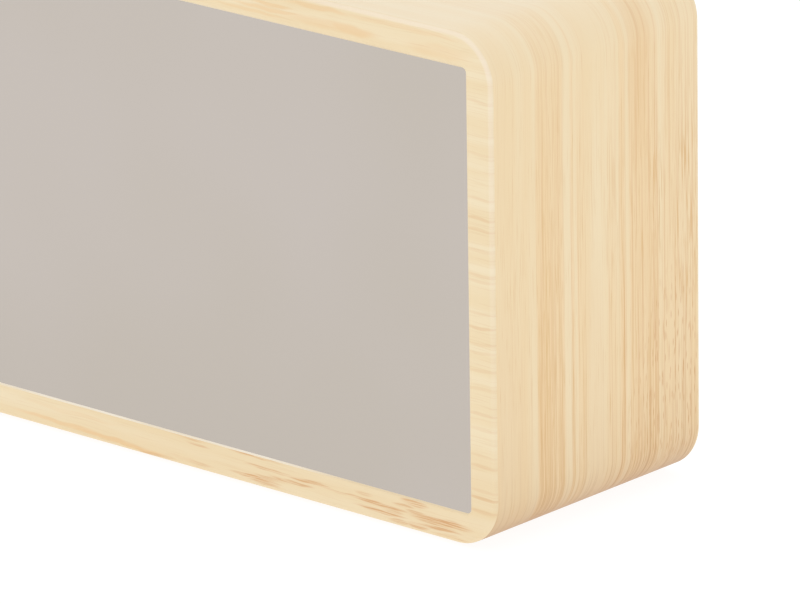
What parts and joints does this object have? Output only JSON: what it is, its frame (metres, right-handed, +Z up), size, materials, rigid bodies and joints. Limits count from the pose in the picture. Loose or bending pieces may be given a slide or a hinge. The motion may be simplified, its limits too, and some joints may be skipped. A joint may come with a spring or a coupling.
{
  "type": "digital alarm clock",
  "caption": "Box-shaped digital alarm clock: bamboo-wrapped wooden case with rounded corners, half-mirror front over a seven-segment display, moulded rear cover with keys and battery door.",
  "frame": {"origin": "under the middle of the clock, on the surface its pads stand on", "axes": "+X to the clock's right seen from the front, +Y to the rear, +Z up; the mirror faces -Y"},
  "size_m": [0.15, 0.042, 0.0705],
  "materials": {
    "bamboo": "bamboo veneer, satin lacquer",
    "pine": "sawn softwood",
    "half_mirror": "half-silvered sheet, mirror face",
    "mask": "black printed film",
    "black_plastic": "moulded, fine texture",
    "reflector_plastic": "moulded, black face",
    "diffuser": "translucent moulded",
    "led": "cast resin",
    "board": "glass-fibre board, solder mask",
    "chip": "moulded epoxy",
    "tin": "tinned or nickel-plated",
    "capacitor_sleeve": "printed sleeve",
    "ribbon": "flat ribbon film",
    "ivory_plastic": "moulded",
    "cover_plastic": "moulded, fine texture",
    "key_plastic": "moulded, satin",
    "screw_steel": "nickel-plated",
    "cell_sleeve": "printed sleeve over a metal can",
    "red_wire": "extruded insulation",
    "black_wire": "extruded insulation",
    "pad": "cast silicone"
  },
  "bodies": {
    "clock": {"wood_case": "bamboo", "corner_blocks": "pine", "foot_pads": "pad", "mirror_panel": "half_mirror", "light_mask": "mask", "inner_chassis": "black_plastic", "display_reflector": "reflector_plastic", "segment_diffusers": "diffuser", "segment_leds": "led", "main_board": "board", "clock_chip": "chip", "quartz_crystal": "tin", "filter_capacitor": "capacitor_sleeve", "backup_cell": "tin", "backup_cell_clip": "tin", "chip_resistors": "chip", "ribbon_sockets": "ivory_plastic", "ribbon_cable": "ribbon", "board_screws": "screw_steel", "key_board": "board", "tact_switches": "black_plastic", "buzzer": "black_plastic", "usb_shell": "tin", "usb_insert": "black_plastic", "key_board_screws": "screw_steel", "rear_cover": "cover_plastic", "cover_screws": "screw_steel", "battery_cells": "cell_sleeve", "contact_plates": "tin", "contact_springs": "tin", "battery_lead_red": "red_wire", "battery_lead_black": "black_wire"},
    "battery_door": {"battery_door": "cover_plastic"},
    "key_time": {"key_time": "key_plastic", "plunger_time": "black_plastic"},
    "key_alarm": {"key_alarm": "key_plastic", "plunger_alarm": "black_plastic"},
    "key_up": {"key_up": "key_plastic", "plunger_up": "black_plastic"},
    "key_down": {"key_down": "key_plastic", "plunger_down": "black_plastic"}
  },
  "joints": [
    {"name": "key_time_press", "type": "slide", "parent": "clock", "child": "key_time", "axis": [0, -1, 0], "range_m": [0, 0.0005], "stiffness_N_per_m": 1200},
    {"name": "key_alarm_press", "type": "slide", "parent": "clock", "child": "key_alarm", "axis": [0, -1, 0], "range_m": [0, 0.0005], "stiffness_N_per_m": 1200},
    {"name": "key_up_press", "type": "slide", "parent": "clock", "child": "key_up", "axis": [0, -1, 0], "range_m": [0, 0.0005], "stiffness_N_per_m": 1200},
    {"name": "key_down_press", "type": "slide", "parent": "clock", "child": "key_down", "axis": [0, -1, 0], "range_m": [0, 0.0005], "stiffness_N_per_m": 1200},
    {"name": "battery_door_swing", "type": "hinge", "parent": "clock", "child": "battery_door", "pos_m": [-0.03563, 0.0185, 0.0108], "axis": [-1, 0, 0], "range_deg": [0, 95]}
  ]
}
